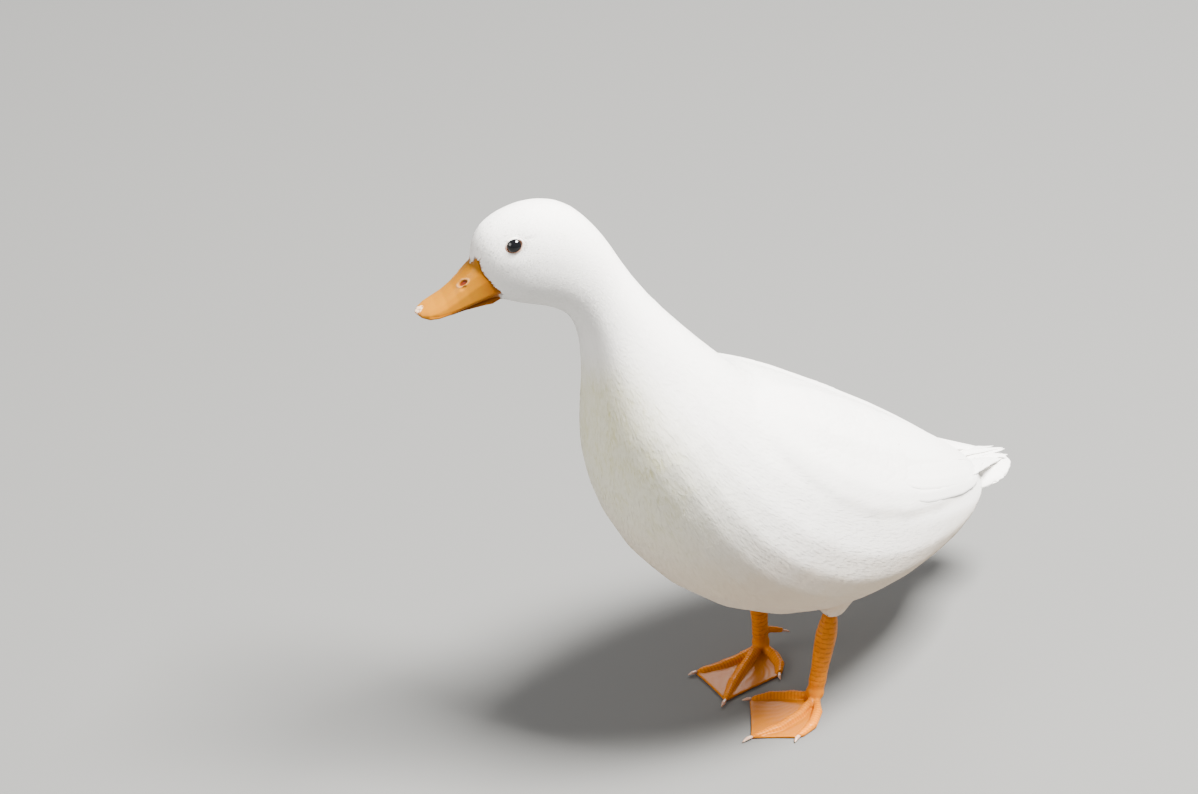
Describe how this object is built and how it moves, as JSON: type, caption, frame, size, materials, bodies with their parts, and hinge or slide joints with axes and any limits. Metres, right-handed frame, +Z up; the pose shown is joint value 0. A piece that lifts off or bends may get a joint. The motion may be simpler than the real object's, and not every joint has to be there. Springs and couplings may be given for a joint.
{
  "type": "duck",
  "caption": "White domestic duck with an orange bill and webbed orange feet, standing with its head turned aside; a still life-size model.",
  "frame": {"origin": "on the floor, under the middle of the duck's bounding box", "axes": "+X forwards, the way the body faces, +Y to the duck's left, +Z up"},
  "size_m": [0.423, 0.154, 0.3824],
  "materials": {
    "plumage": "soft overlapping feathers, white, slightly cream below, with faint green-yellow streaks on the front of the neck",
    "bill": "smooth waxy skin, warm orange-yellow, redder at the gape",
    "leg_skin": "vivid orange scaly skin, with paler peach-orange webs",
    "claw": "pale pinkish horn",
    "eye": "glossy, near black with a dark brown ring"
  },
  "bodies": {
    "root": {"head": "plumage", "neck_upper": "plumage", "neck_lower": "plumage", "trunk": "plumage", "wing_left": "plumage", "wing_tip_left": "plumage", "wing_right": "plumage", "wing_tip_right": "plumage", "tail": "plumage", "thigh_left": "plumage", "thigh_right": "plumage", "bill_upper": "bill", "bill_lower": "bill", "eye_left": "eye", "eye_right": "eye", "shank_left": "leg_skin", "foot_left": "leg_skin", "claw_left_inner": "claw", "claw_left_middle": "claw", "claw_left_outer": "claw", "claw_left_hind": "claw", "shank_right": "leg_skin", "foot_right": "leg_skin", "claw_right_inner": "claw", "claw_right_middle": "claw", "claw_right_outer": "claw", "claw_right_hind": "claw"}
  },
  "joints": []
}
